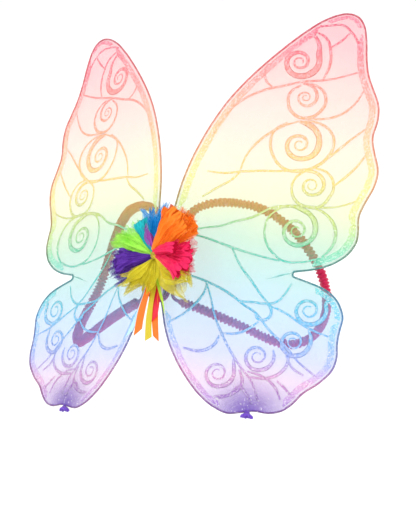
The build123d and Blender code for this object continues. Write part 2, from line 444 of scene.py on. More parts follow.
    def _fuzz(self) -> bpy.types.NodeTree:
        """Matted fibres of felt and thread, as a shade and a normal."""
        tree, source, sink, add = self._start(
            "fibres",
            {"Scale": 900.0, "Relief": 0.5},
            {"Shade": "NodeSocketFloat", "Normal": "NodeSocketVector"},
        )
        place = add("ShaderNodeTexCoord").outputs["Object"]
        fibres = add("ShaderNodeTexNoise", {"Vector": place, "Scale": source.outputs["Scale"],
                                            "Detail": 4.0, "Distortion": 1.5})
        bump = add("ShaderNodeBump", {"Strength": source.outputs["Relief"], "Distance": 0.0003,
                                      "Height": fibres.outputs[0]})
        tree.links.new(fibres.outputs[0], sink.inputs["Shade"])
        tree.links.new(bump.outputs[0], sink.inputs["Normal"])
        return tree


# heights in metres with the dye there: through sheer cloth, and where it is dense
DYE: list[tuple[float, Colour, Colour]] = [
    (-0.165, (0.24, 0.10, 0.52), (0.22, 0.08, 0.55)),
    (-0.125, (0.55, 0.26, 0.60), (0.62, 0.26, 0.55)),
    (-0.095, (0.20, 0.30, 0.78), (0.22, 0.32, 0.80)),
    (-0.050, (0.05, 0.42, 0.80), (0.04, 0.46, 0.82)),
    (-0.012, (0.00, 0.50, 0.50), (0.00, 0.55, 0.54)),
    (0.030, (0.10, 0.54, 0.24), (0.06, 0.58, 0.30)),
    (0.065, (0.50, 0.66, 0.14), (0.50, 0.66, 0.12)),
    (0.110, (0.93, 0.72, 0.28), (0.92, 0.66, 0.14)),
    (0.165, (0.97, 0.53, 0.33), (0.96, 0.42, 0.17)),
    (0.225, (0.95, 0.31, 0.24), (0.94, 0.22, 0.18)),
    (0.275, (0.90, 0.12, 0.16), (0.88, 0.09, 0.15)),
    (0.320, (0.80, 0.06, 0.14), (0.70, 0.03, 0.14)),
]
DYE_LOW, DYE_HIGH = DYE[0][0], DYE[-1][0]


def dye_share(height: float) -> float:
    """Where a height falls between the lowest and highest dye stops."""
    return (height - DYE_LOW) / (DYE_HIGH - DYE_LOW)


# ------------------------------------------------------------------ wing plane
WING_SWEEP = math.radians(20.3)
KNOT_OUT, KNOT_TOP = 117.0 * MM, -160.6 * MM
ROOT_X, ROOT_Y = joint("right_wing_fold")["pos_m"][:2]
KNOT_CENTRE = (ROOT_X + KNOT_OUT * math.cos(WING_SWEEP), 0.0, KNOT_TOP)

# The frame wire's outline, outwards from the root wire and up, in millimetres.
WING_OUTLINE: list[Point] = [
    (0, 33), (6, 57), (10, 92), (19, 128), (32, 163), (48, 196), (69, 227), (93, 256),
    (118, 283), (140, 303), (156, 313), (171, 318), (184, 315), (192, 303), (196, 284),
    (198, 262), (202, 241), (210, 223), (218, 206), (219, 186), (214, 165), (219, 146),
    (226, 126), (223, 106), (215, 88), (209, 70), (211, 55), (211, 41), (203, 25),
    (187, 12), (167, 4), (146, 0), (146, -6), (165, -11), (184, -17), (198, -28),
    (206, -46), (203, -61), (202, -76), (204, -90), (201, -105), (188, -121),
    (172, -133), (164, -145), (153, -155), (139, -159), (124, -157), (109, -161),
    (96, -164), (79, -158), (62, -146), (47, -130), (34, -113), (23, -94), (15, -74),
    (9, -51), (0, -30),
]
# The stocking leaves the root wire free beside the bindings.
STOCKING_ROOT: list[Point] = [(9, -34), (10, 0), (9, 32)]


def wing_matrix(side: Side) -> Matrix:
    """Carries (outwards, towards the wearer, up) of a flat wing into the frame."""
    sign, out, lean = side.value, math.cos(WING_SWEEP), math.sin(WING_SWEEP)
    return Matrix((
        (sign * out, -sign * lean, 0.0, sign * ROOT_X),
        (lean, out, 0.0, ROOT_Y),
        (0.0, 0.0, 1.0, 0.0),
        (0.0, 0.0, 0.0, 1.0),
    ))


class Outline:
    """Closed outline of straight runs joined by tangent arcs, walked by distance."""

    SHARE = 0.45
    STEP = math.radians(6)

    def __init__(self, corners: Sequence[Point]) -> None:
        """Round the corners as the frame wire is bent.

        Args:
            corners: corner points in millimetres, clockwise seen from the decorated side.
        """
        ring = [Vector(c) * MM for c in corners]
        self.points: list[Vector] = []
        for i, corner in enumerate(ring):
            before, after = ring[i - 1] - corner, ring[(i + 1) % len(ring)] - corner
            reach = self.SHARE * min(before.length, after.length)
            start, end = corner + before.normalized() * reach, corner + after.normalized() * reach
            half = (math.pi - before.angle(after)) / 2
            radius = reach / math.tan(half)
            inwards = (before.normalized() + after.normalized()).normalized()
            middle = corner + inwards * radius / math.cos(half)
            steps = max(2, int(2 * half / self.STEP))
            first, turn = start - middle, (start - middle).angle_signed(end - middle)
            for k in range(steps + 1):
                angle = -turn * k / steps
                c, s = math.cos(angle), math.sin(angle)
                spoke = Vector((first.x * c - first.y * s, first.x * s + first.y * c))
                self.points.append(middle + spoke)
        self.walked = [0.0]
        for a, b in zip(self.points, self.points[1:] + self.points[:1]):
            self.walked.append(self.walked[-1] + (b - a).length)
        self.length = self.walked[-1]

    def at(self, distance: float, inset: float = 0.0) -> Vector:
        """The point a distance along, moved inwards by inset.

        Args:
            distance: metres along, taken round the loop as often as needed.
            inset: metres inwards, or outwards when negative.

        Returns:
            The point, outwards and up, in metres.
        """
        d = distance % self.length
        low, high = 0, len(self.walked) - 1
        while high - low > 1:
            mid = (low + high) // 2
            low, high = (mid, high) if self.walked[mid] <= d else (low, mid)
        count = len(self.points)
        a, b = self.points[low % count], self.points[(low + 1) % count]
        share = (d - self.walked[low]) / max(1e-9, self.walked[low + 1] - self.walked[low])
        ahead, behind = self.points[(low + 2) % count], self.points[low - 1]
        run = (b - behind) * (1 - share) + (ahead - a) * share
        inwards = Vector((run.y, -run.x)).normalized()
        return a + (b - a) * share + inwards * inset

    def near(self, point: Point) -> float:
        """Distance along to the place nearest a point given in millimetres."""
        target = Vector(point) * MM
        best = min(range(len(self.points)), key=lambda i: (self.points[i] - target).length)
        return self.walked[best]


WIRE_LINE = Outline(WING_OUTLINE)
STOCKING_LINE = Outline(STOCKING_ROOT + WING_OUTLINE[1:-1])
# How far the stocking's skin is from the wire's centreline, and spots kept along the wire.
FACE_OFF = 1.15 * MM
WIRE_SPOTS = 4000


def face_height(point: Vector) -> float:
    """How far the stocking's front layer stands off the wing plane at a point."""
    return FACE_OFF - 0.25 * MM * soft_step(0.0, 15 * MM, wire_gap(point))


def wire_gap(point: Vector) -> float:
    """Distance from a flat point to the wire's centreline."""
    return WIRE_TREE.find((point[0], point[1], 0.0))[2]


def gathers(point: Vector) -> float:
    """Pleats radiating from the tied end, and slack ripples, held flat near the wire."""
    away = Vector((point[0] - KNOT_OUT, point[1] - KNOT_TOP))
    turn = math.atan2(away.y, away.x)
    pleats = 1.5 * MM * math.exp(-away.length / (30 * MM)) * math.sin(34 * turn + 2 * rough(turn * 3, 0.3))
    notch = Vector((point[0] - 150 * MM, point[1] + 3 * MM))
    tucks = 0.7 * MM * math.exp(-notch.length / (14 * MM)) * math.sin(9 * math.atan2(notch.y, notch.x))
    slack = 0.5 * MM * rough(point[0] * 26, point[1] * 26, 2.0)
    return (pleats + tucks + slack) * soft_step(1.2 * MM, 9 * MM, wire_gap(point))


WIRE_TREE = kdtree.KDTree(WIRE_SPOTS)
for step in range(WIRE_SPOTS):
    WIRE_TREE.insert((*WIRE_LINE.at(WIRE_LINE.length * step / WIRE_SPOTS), 0.0), step)
WIRE_TREE.balance()


# -------------------------------------------------------------------- finishes
@dataclass(frozen=True)
class SheerStocking:
    """Dip-dyed nylon stocking, thin enough to see through."""

    cover: float = 0.25

    def material(self, fx: Effects) -> bpy.types.Material:
        """Build the finish from the shared effects."""
        s = Shader("dip dyed stocking", Roughness=0.55, Sheen_Weight=0.15, Sheen_Roughness=0.4)
        dye = s.group(fx.rainbow)
        yarn = s.group(fx.knit)
        flakes = s.group(fx.glitter, Size=0.0011, Share=0.05)
        fleck = s.node("ShaderNodeMath", operation="MULTIPLY")
        s.link(flakes.outputs["Flake"], fleck.inputs[0])
        s.link(flakes.outputs["Bright"], fleck.inputs[1])
        shade = s.node("ShaderNodeMix", data_type="RGBA")
        s.link(fleck.outputs[0], shade.inputs[0])
        s.link(dye.outputs["Sheer"], shade.inputs[6])
        shade.inputs[7].default_value = (1.0, 0.97, 0.95, 1.0)
        s.out(shade.outputs[2], "Base Color")
        cover = s.node("ShaderNodeMath", operation="MULTIPLY_ADD")
        s.link(yarn.outputs[0], cover.inputs[0])
        cover.inputs[1].default_value = 0.22
        cover.inputs[2].default_value = self.cover - 0.11
        dense = s.node("ShaderNodeMath", operation="MULTIPLY_ADD", use_clamp=True)
        s.link(dye.outputs["Knot"], dense.inputs[0])
        dense.inputs[1].default_value = 0.5
        s.link(cover.outputs[0], dense.inputs[2])
        s.out(dense.outputs[0], "Alpha")
        return s.material


@dataclass(frozen=True)
class GlitterPaint:
    """Glitter glue in the colour of the dye beneath it."""

    flake: float = 0.0006

    def material(self, fx: Effects) -> bpy.types.Material:
        """Build the finish from the shared effects."""
        s = Shader("glitter glue", Roughness=0.42, Coat_Weight=0.2, Coat_Roughness=0.25)
        dye = s.group(fx.rainbow)
        flakes = s.group(fx.glitter, Size=self.flake, Share=0.72, Relief=0.3)
        lift = s.node("ShaderNodeMath", operation="POWER")
        s.link(flakes.outputs["Bright"], lift.inputs[0])
        lift.inputs[1].default_value = 4.0
        glint = s.node("ShaderNodeMix", data_type="RGBA")
        s.link(lift.outputs[0], glint.inputs[0])
        s.link(dye.outputs["Rich"], glint.inputs[6])
        glint.inputs[7].default_value = (0.95, 0.92, 0.92, 1.0)
        s.out(glint.outputs[2], "Base Color")
        cover = s.node("ShaderNodeMapRange")
        s.link(flakes.outputs["Flake"], cover.inputs[0])
        cover.inputs[3].default_value = 0.55
        cover.inputs[4].default_value = 0.86
        s.out(cover.outputs[0], "Alpha")
        s.out(flakes.outputs["Normal"], "Normal")
        return s.material


@dataclass(frozen=True)
class DyedRim:
    """Wire seen through the stocking drawn tight over it, dense and dark."""

    def material(self, fx: Effects) -> bpy.types.Material:
        """Build the finish from the shared effects."""
        s = Shader("wire under stocking", Roughness=0.45, Sheen_Weight=0.2)
        dye = s.group(fx.rainbow)
        flakes = s.group(fx.glitter, Size=0.0008, Share=0.25, Relief=0.3)
        dark = s.node("ShaderNodeMix", data_type="RGBA", blend_type="MULTIPLY")
        dark.inputs[0].default_value = 1.0
        s.link(dye.outputs["Rich"], dark.inputs[6])
        dark.inputs[7].default_value = (0.55, 0.16, 0.30, 1.0)
        glint = s.node("ShaderNodeMath", operation="MULTIPLY")
        s.link(flakes.outputs["Flake"], glint.inputs[0])
        s.link(flakes.outputs["Bright"], glint.inputs[1])
        # Painted glint: near-white mixed into the rim's colour on bright glitter flakes, standing in for
        # their sparkle.
        painted_glint = s.node("ShaderNodeMix", data_type="RGBA")
        s.link(glint.outputs[0], painted_glint.inputs[0])
        s.link(dark.outputs[2], painted_glint.inputs[6])
        painted_glint.inputs[7].default_value = (0.75, 0.70, 0.70, 1.0)
        s.out(painted_glint.outputs[2], "Base Color")
        s.out(flakes.outputs["Normal"], "Normal")
        return s.material


@dataclass(frozen=True)
class Fibrous:
    """Felt, thread, wadding and card: one colour broken up by its fibres."""

    name: str
    colour: Colour
    scale: float = 900.0
    relief: float = 0.5
    roughness: float = 0.9
    sheen: float = 0.3
    dark: float = 0.55

    def material(self, fx: Effects) -> bpy.types.Material:
        """Build the finish from the shared effects."""
        s = Shader(self.name, Roughness=self.roughness, Sheen_Weight=self.sheen)
        fibres = s.group(fx.fuzz, Scale=self.scale, Relief=self.relief)
        shade = s.node("ShaderNodeMix", data_type="RGBA")
        s.link(fibres.outputs["Shade"], shade.inputs[0])
        shade.inputs[6].default_value = (*(c * self.dark for c in self.colour), 1.0)
        shade.inputs[7].default_value = (*(min(1.0, c * 1.3) for c in self.colour), 1.0)
        s.out(shade.outputs[2], "Base Color")
        s.out(fibres.outputs["Normal"], "Normal")
        return s.material


@dataclass(frozen=True)
class Satin:
    """Glossy woven ribbon and the gathered satin of the straps."""

    name: str
    colour: Colour
    threads: tuple[float, float] = (26.0, 260.0)
    roughness: float = 0.38
    # strength of a painted glow: emission in the satin's colour, standing in for more light falling on it
    painted_glow: float = 0.08

    def material(self, fx: Effects) -> bpy.types.Material:
        """Build the finish from the shared effects."""
        s = Shader(self.name, Roughness=self.roughness, Specular_IOR_Level=0.3, Anisotropic=0.4)
        # Painted light: the satin emits its own colour, a painted glow that brightens it as if more light
        # fell on it.
        s.bsdf.inputs["Emission Color"].default_value = (*self.colour, 1.0)
        s.bsdf.inputs["Emission Strength"].default_value = self.painted_glow
        cloth = s.group(fx.weave, Across=self.threads[0], Along=self.threads[1], Relief=0.35)
        shade = s.node("ShaderNodeMix", data_type="RGBA")
        s.link(cloth.outputs["Shade"], shade.inputs[0])
        shade.inputs[6].default_value = (*(c * 0.62 for c in self.colour), 1.0)
        shade.inputs[7].default_value = (*(min(1.0, c * 1.15 + 0.01) for c in self.colour), 1.0)
        s.out(shade.outputs[2], "Base Color")
        s.out(cloth.outputs["Normal"], "Normal")
        return s.material


@dataclass(frozen=True)
class Tulle:
    """Soft nylon net that shows its colour most where it is folded."""

    name: str
    colour: Colour
    open_cell: float = 0.50
    thread: float = 0.95
    fade: float = 0.55
    # strength of a painted glow: emission in the net's colour, standing in for light on shaded petals
    painted_glow: float = 0.10

    def material(self, fx: Effects) -> bpy.types.Material:
        """Build the finish from the shared effects."""
        s = Shader(self.name, Roughness=0.7, Sheen_Weight=0.08, Specular_IOR_Level=0.25)
        net = s.group(fx.net, Open=self.open_cell, Dense=self.thread, Fade=self.fade)
        shade = s.node("ShaderNodeMix", data_type="RGBA")
        s.link(net.outputs["Shade"], shade.inputs[0])
        shade.inputs[6].default_value = (*(c * 0.70 for c in self.colour), 1.0)
        shade.inputs[7].default_value = (*(min(1.0, c * 1.25 + 0.02) for c in self.colour), 1.0)
        s.out(shade.outputs[2], "Base Color")
        s.out(net.outputs["Cover"], "Alpha")
        # Painted light: the net emits its own colour, a painted glow that lifts petals lying in shade.
        s.bsdf.inputs["Emission Color"].default_value = (*self.colour, 1.0)
        s.bsdf.inputs["Emission Strength"].default_value = self.painted_glow
        return s.material


# ------------------------------------------------------------------------ wings
class Stroke(Enum):
    """Brush strokes of glitter: half widths in millimetres at start, middle and end."""

    THIN = (0.9, 1.35, 1.0)
    LOOP = (1.2, 1.8, 1.2)


@dataclass(frozen=True)
class Curl:
    """A painted spiral: a lead-in, then turns that tighten clockwise round a middle."""

    lead: list[Point]
    middle: Point
    weight: float = 0.14
    shrink: float = 0.40
    turns: float = 2.1
    thinnest: float = 0.75

    def line(self) -> list[tuple[float, float, float]]:
        """Places along the spiral and the brush's half width there, all in millimetres."""
        away = Vector(self.lead[-1]) - Vector(self.middle)
        first = math.atan2(away.y, away.x)
        steps = round(16 * self.turns)
        line = []
        for i, (x, y) in enumerate(self.lead[:-1]):
            line.append((x, y, self.weight * away.length * (0.45 + 0.4 * i / len(self.lead))))
        for i in range(steps + 1):
            gone = self.turns * i / steps
            size = away.length * self.shrink ** gone
            angle = first - math.tau * gone
            swell = 0.85 + 0.3 * soft_step(0.0, 0.2, gone)
            half = max(self.thinnest, self.weight * swell * size)
            x, y = self.middle
            line.append((x + size * math.cos(angle), y + size * math.sin(angle), half))
        return line


VEINS: list[tuple[Stroke, list[Point]]] = [
    # upper wing, from the leading edge and tip downwards
    (Stroke.THIN, [(36, 148), (48, 176), (59, 193), (84, 211), (107, 219), (129, 226), (158, 232),
                   (177, 238), (196, 246)]),
    (Stroke.THIN, [(87, 244), (86, 232), (89, 223), (96, 217)]),
    (Stroke.LOOP, [(138, 291), (150, 283), (157, 267), (158, 249), (153, 232)]),
    (Stroke.THIN, [(156, 272), (167, 281), (177, 292)]),
    (Stroke.THIN, [(135, 295), (143, 298), (154, 300), (168, 301), (178, 294), (185, 284), (190, 268),
                   (193, 254)]),
    (Stroke.THIN, [(137, 293), (136, 286), (126, 281), (121, 272)]),
    (Stroke.LOOP, [(130, 224), (148, 222), (157, 210), (155, 194), (139, 182), (123, 187), (116, 201),
                   (118, 213), (128, 222)]),
    (Stroke.THIN, [(200, 222), (190, 204), (174, 188), (150, 181), (129, 182)]),
    (Stroke.THIN, [(209, 177), (194, 163), (181, 149), (170, 137), (156, 125), (142, 117)]),
    (Stroke.LOOP, [(132, 177), (151, 177), (167, 168), (173, 154), (169, 137), (156, 124), (139, 117),
                   (121, 119), (108, 132), (103, 148), (106, 164), (119, 175)]),
    (Stroke.THIN, [(132, 178), (118, 172), (104, 163), (90, 149), (78, 130), (73, 110)]),
    (Stroke.THIN, [(36, 107), (56, 107), (73, 110), (96, 113), (123, 116), (146, 120)]),
    (Stroke.THIN, [(74, 110), (66, 100), (51, 89), (35, 76)]),
    (Stroke.THIN, [(212, 147), (200, 127), (189, 114), (178, 102)]),
    (Stroke.LOOP, [(156, 122), (169, 118), (178, 105), (175, 88), (165, 77), (153, 76), (140, 80),
                   (133, 94), (135, 108), (144, 117)]),
    (Stroke.THIN, [(210, 90), (189, 80), (172, 76), (154, 76), (132, 75), (116, 71), (93, 57), (76, 51),
                   (59, 44), (42, 39), (16, 30)]),
    (Stroke.LOOP, [(158, 76), (174, 70), (184, 58), (187, 44), (184, 31), (175, 19)]),
    (Stroke.THIN, [(122, 71), (113, 60), (109, 45), (113, 29), (122, 17), (134, 11), (152, 11),
                   (174, 18)]),
    (Stroke.THIN, [(18, 32), (36, 30), (55, 26), (77, 20), (100, 15), (130, 10)]),
    (Stroke.THIN, [(77, 20), (88, 2), (103, -16), (117, -33), (127, -41)]),
    # lower wing
    (Stroke.THIN, [(16, -12), (34, -16), (53, -21), (77, -31), (99, -44), (113, -53), (120, -60)]),
    (Stroke.THIN, [(53, -21), (61, -39), (69, -60), (78, -78), (89, -95), (104, -113), (117, -128),
                   (127, -146)]),
    (Stroke.THIN, [(77, -31), (94, -39), (108, -40), (123, -39), (133, -36), (141, -27), (146, -14)]),
    (Stroke.THIN, [(125, -41), (143, -48), (160, -57), (176, -64), (194, -69)]),
    (Stroke.LOOP, [(123, -39), (129, -48), (125, -56), (116, -58), (111, -50)]),
    (Stroke.THIN, [(78, -78), (93, -76), (106, -70), (116, -60)]),
    (Stroke.THIN, [(95, -42), (110, -51), (130, -69), (149, -86), (163, -99), (186, -115)]),
    (Stroke.LOOP, [(77, -79), (71, -92), (57, -99), (39, -98)]),
    (Stroke.LOOP, [(153, -91), (151, -108), (136, -120), (115, -123)]),
    (Stroke.LOOP, [(103, -115), (108, -129), (99, -142), (80, -148)]),
    (Stroke.THIN, [(144, -123), (154, -130), (164, -140)]),
    (Stroke.THIN, [(151, -95), (159, -107), (171, -115)]),
    (Stroke.THIN, [(112, -117), (128, -120), (142, -130), (150, -143)]),
    (Stroke.THIN, [(84, -149), (96, -144), (105, -134), (113, -140), (120, -150)]),
    (Stroke.THIN, [(18, -72), (30, -64), (44, -50), (53, -34), (55, -22)]),
]
CURLS = [
    Curl([(137, 285), (143, 274), (144, 262)], (123, 251), 0.17, 0.42, 2.15),
    Curl([(135, 223), (141, 221)], (135, 207), 0.13, 0.38, 2.0),
    Curl([(132, 177), (145, 173)], (135, 149), 0.15, 0.38, 2.1),
    Curl([(142, 117), (153, 118)], (154, 101), 0.14, 0.42, 1.9),
    Curl([(116, 69), (134, 75), (150, 71)], (144, 47), 0.13, 0.42, 2.1),
    Curl([(190, -27), (186, -33)], (168, -42), 0.13, 0.45, 1.9),
    Curl([(171, -64), (174, -73)], (156, -79), 0.14, 0.44, 1.9),
    Curl([(136, -90), (138, -99)], (120, -99), 0.13, 0.44, 1.9),
    Curl([(95, -104), (97, -115)], (80, -122), 0.13, 0.44, 1.9),
]
# Border bands: places on the outline where each starts and ends, its width and gap, in millimetres.
BANDS: list[tuple[Point, Point, float, float]] = [
    ((10, 60), (142, 304), 7.4, 3.3),
    ((148, 309), (193, 299), 4.5, 2.8),
    ((194, 293), (211, 58), 7.4, 3.3),
    ((211, 62), (170, 5), 7.5, 2.6),
    ((170, -12), (203, -50), 6.0, 2.4),
    ((203, -52), (154, -153), 7.0, 2.6),
    ((86, -160), (10, -58), 5.5, 2.4),
]


@dataclass
class Wing:
    """One wing: stocking over bent wire, painted with glitter and tied off below."""

    side: Side
    fx: Effects
    paint: bpy.types.Material
    cloth: bpy.types.Material
    rim: bpy.types.Material
    knot_cloth: bpy.types.Material
    thread: bpy.types.Material
    columns: int = 84
    rows: int = 300
    flat: tuple[float, float] = (0.233, 0.486)
    knot_radius: float = 3.3 * MM
    knot_length: float = 6.8 * MM
    paint_lift: float = 0.14 * MM

    def __post_init__(self) -> None:
        """Work out the name and the matrix from the flat wing to its place."""
        self.body = f"{self.side.word}_wing"
        upright = Matrix(((1, 0, 0, 0), (0, 0, -1, 0), (0, 1, 0, 0), (0, 0, 0, 1)))
        self.place = wing_matrix(self.side) @ upright

    def finish(self, bm: bmesh.types.BMesh, name: str, material: bpy.types.Material,
               solid: bool = True) -> bpy.types.Object:
        """Carry a flat mesh to the wing and make it a riding piece.

        Args:
            bm: the mesh, outwards along X, up along Y and decorated side along Z.
            name: the piece's name.
            material: its finish.
            solid: whether the mesh is closed.

        Returns:
            The finished piece.
        """
        bmesh.ops.transform(bm, matrix=self.place, verts=bm.verts)
        if solid:
            bmesh.ops.recalc_face_normals(bm, faces=bm.faces)
        elif self.side is Side.LEFT:
            bmesh.ops.reverse_faces(bm, faces=bm.faces)
        piece = from_bmesh(name, bm, material)
        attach(piece, self.body)
        return piece

    def stocking(self) -> bpy.types.Object:
        """Two layers of stretched stocking, joined round the outside of the wire."""
        line = STOCKING_LINE
        corners = [line.near(p) for p in ((62, -146), (118, 283), (196, 284), (188, -121))]
        low_left, top_left, top_right, low_right = corners
        left_run = (top_left - low_left) % line.length
        right_run = (low_right - top_right) % line.length
        top_run = (top_right - top_left) % line.length
        low_run = (low_left - low_right) % line.length
        edge = -FACE_OFF

        def left_at_height(height: float) -> Vector:
            """The inner edge's point at a height, found by halving."""
            low, high = 0.0, left_run
            for _ in range(24):
                mid = (low + high) / 2
                low, high = (mid, high) if line.at(low_left + mid).y < height else (low, mid)
            return line.at(low_left + low, edge)

        heights = [line.at(low_left).y, line.at(top_left).y, line.at(low_right).y, line.at(top_right).y]
        rows: dict[float, tuple[Vector, Vector]] = {}
        for i in range(self.rows + 1):
            v = 0.5 - 0.5 * math.cos(math.pi * i / self.rows)
            v = blend_values(v, i / self.rows, 0.75)
            right = line.at(low_right - right_run * v, edge)
            share = (line.at(low_right - right_run * v).y - heights[2]) / (heights[3] - heights[2])
            left = left_at_height(blend_values(heights[0], heights[1], min(1.0, max(0.0, share))))
            rows[i] = (left, right)
        rows[0] = (line.at(low_left, edge), line.at(low_right, edge))
        rows[self.rows] = (line.at(top_left, edge), line.at(top_right, edge))
        span = {i: (rows[i][0].y - rows[0][0].y) / (rows[self.rows][0].y - rows[0][0].y) for i in rows}

        def place(across: float, along: float) -> Vector:
            """Coons patch: the four edges blended over the inside."""
            u = 0.5 - 0.5 * math.cos(math.pi * across)
            i = round(along * self.rows)
            v = span[i]
            left, right = rows[i]
            low = line.at(low_right + low_run * (1 - u), edge)
            top = line.at(top_left + top_run * u, edge)
            flat = left.lerp(right, u) + low.lerp(top, v)
            flat -= rows[0][0].lerp(rows[0][1], u).lerp(rows[self.rows][0].lerp(rows[self.rows][1], u), v)
            rim = across in (0.0, 1.0) or i in (0, self.rows)
            nearest = WIRE_TREE.find((flat.x, flat.y, 0.0))
            lift = 0.0 if rim else face_height(flat)
            inwards = WIRE_LINE.at(WIRE_LINE.length * nearest[1] / WIRE_SPOTS, 1 * MM) - nearest[0].xy
            if not rim and (flat - nearest[0].xy).dot(inwards) < 0:
                lift = math.sqrt(max(0.0, FACE_OFF ** 2 - nearest[2] ** 2))
            return Vector((flat.x, flat.y, lift))

        bm = mapped_grid(self.columns, self.rows, place)
        bmesh.ops.mirror(bm, geom=bm.verts[:] + bm.edges[:] + bm.faces[:], axis="Z", merge_dist=2e-6)
        for vert in bm.verts:
            vert.co.z += gathers(vert.co)
        self.skin = BVHTree.FromBMesh(bm)
        piece = self.finish(bm, f"{self.side.word}_wing_stocking", self.cloth)
        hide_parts(f"{self.side.word}_wing_membrane")
        return piece

    def glitter(self) -> bpy.types.Object:
        """Every vein, spiral and border band, laid on the stocking's front layer."""
        luck = random.Random(7 if self.side is Side.RIGHT else 11)
        shift = luck.uniform(0, 9)
        brush = Swept([(-1, -0.02), (-0.6, 0.16), (0, 0.24), (0.6, 0.16), (1, -0.02), (0, -0.05)])
        lines = [curl.line() for curl in CURLS]
        for stroke, path in VEINS:
            first, middle, last = stroke.value
            line = []
            for i, (x, y) in enumerate(path):
                share = i / (len(path) - 1)
                half = blend_values(first, middle, soft_step(0, 0.4, share))
                half = blend_values(half, last, soft_step(0.6, 1.0, share))
                line.append((x + luck.uniform(-0.6, 0.6), y + luck.uniform(-0.6, 0.6), half))
            lines.append(line)
        for line in lines:
            spots = []
            for x, y, _ in line:
                stray = Vector((rough(x / 9, y / 9, shift), rough(y / 9, x / 9, shift))) * 0.5
                spots.append(((x + stray.x) * MM, (y + stray.y) * MM, 0.0))
            brush.add(spots, [half * MM * (1 + 0.16 * rough(x / 4, y / 4, shift)) for x, y, half in line])
        bm = brush.faces()
        for start, end, width, gap in BANDS:
            first = WIRE_LINE.near(start)
            run = (WIRE_LINE.near(end) - first) % WIRE_LINE.length
            rows = int(run / (1.3 * MM))

            def band(across: float, along: float) -> Vector:
                """A ragged ribbon of glitter just inside the wire."""
                d = first + run * along
                fade = soft_step(0, 0.06, along) * soft_step(1, 0.94, along)
                wide = width * (0.3 + 0.7 * fade) + 0.8 * rough(d * 60, gap) + 0.15 * rough(d * 200, 4)
                spot = WIRE_LINE.at(d, (gap + 0.2 * rough(d * 150, 9) + across * wide) * MM)
                return Vector((spot.x, spot.y, 0.18 * MM * math.sin(math.pi * across)))

            join_into(bm, mapped_grid(8, rows, band))
        above, down = Vector((0, 0, 0.05)), Vector((0, 0, -1))
        for vert in bm.verts:
            hit = self.skin.ray_cast(vert.co + above, down)[0]
            vert.co.z += self.paint_lift + (hit.z if hit else 0.0)
        piece = self.finish(bm, f"{self.side.word}_glitter_veins", self.paint, solid=False)
        return piece

    def knot(self) -> bpy.types.Object:
        """Gathered end of the stocking, pinched by the thread and flared below it."""
        lobes, length = 12, self.knot_length

        def place(across: float, along: float) -> Vector:
            """Fluted trumpet that turns back inside at its ragged hem."""
            turn = math.tau * across
            out = min(along / 0.72, 1.0)
            back = max(0.0, (along - 0.72) / 0.28)
            neck = 1 - 0.42 * math.exp(-((out - 0.24) / 0.13) ** 2)
            flare = blend_values(0.85, 1.5, soft_step(0.25, 0.8, out))
            c, s = math.cos(turn), math.sin(turn)
            wave = 1 + out * (0.16 * math.sin(lobes * turn) + 0.22 * rough(2.2 * c, 2.2 * s, 3.0))
            size = self.knot_radius * neck * flare * wave * (1 - 0.93 * back)
            if along in (0.0, 1.0):
                size = 0.0
            hem = 0.28 * rough(2.6 * c, 2.6 * s, 8.0) * out * (1 - back)
            drop = length * (out * (1 + hem) - 0.5 * back)
            return Vector((KNOT_OUT + size * 1.25 * c, KNOT_TOP + 1.5 * MM - drop, size * 0.85 * s))

        bm = mapped_grid(84, 40, place)
        bmesh.ops.remove_doubles(bm, verts=bm.verts, dist=1e-6)
        area = sum(f.calc_area() for f in bm.faces)
        piece = self.finish(bm, f"{self.side.word}_stocking_tuft", self.knot_cloth)
        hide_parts(f"{self.side.word}_stocking_knot")
        return piece

    def knot_winding(self) -> bpy.types.Object:
        """Five turns of thread round the pinched neck."""
        winding = Swept(round_section(5), upright=False)
        spots = []
        for i in range(61):
            turn = math.tau * i / 12
            spots.append((KNOT_OUT + 3.3 * MM * math.cos(turn), KNOT_TOP - (0.6 + 0.055 * i) * MM,
                          2.6 * MM * math.sin(turn)))
        winding.add(spots, [0.36 * MM] * len(spots))
        bm = winding.faces()
        piece = self.finish(bm, f"{self.side.word}_knot_winding", self.thread)
        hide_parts(f"{self.side.word}_knot_thread")
        return piece

    def build(self) -> None:
        """Make the wing's pieces and dress its wire."""
        dress(f"{self.side.word}_wing_wire", self.rim)
        for make in (self.stocking, self.glitter, self.knot, self.knot_winding):
            piece = make()
            log.info("%s: %d faces", piece.name, len(piece.data.polygons))


# ---------------------------------------------------------------------- rosette
PINCH = Vector((5.0, 0.0, -3.0)) * MM


class Tip(Enum):
    """How a strip of tulle ends."""

    LOOP = "folded back to the tie"
    SPIKE = "cut to a point"
    RAGGED = "cut straight and frayed"


@dataclass(frozen=True)
class Petal:
    """One bunch of tulle strips, fanned between two directions seen from the decorated side.

    Directions are in degrees from the viewer's right, sizes in millimetres. The side names a wing and is not
    used.
    """

    node: str
    colour: str
    first: float
    last: float
    reach: float
    strips: int
    width: float
    tip: Tip
    side: Side
    puff: float = 4.0
    lift: float = 0.0


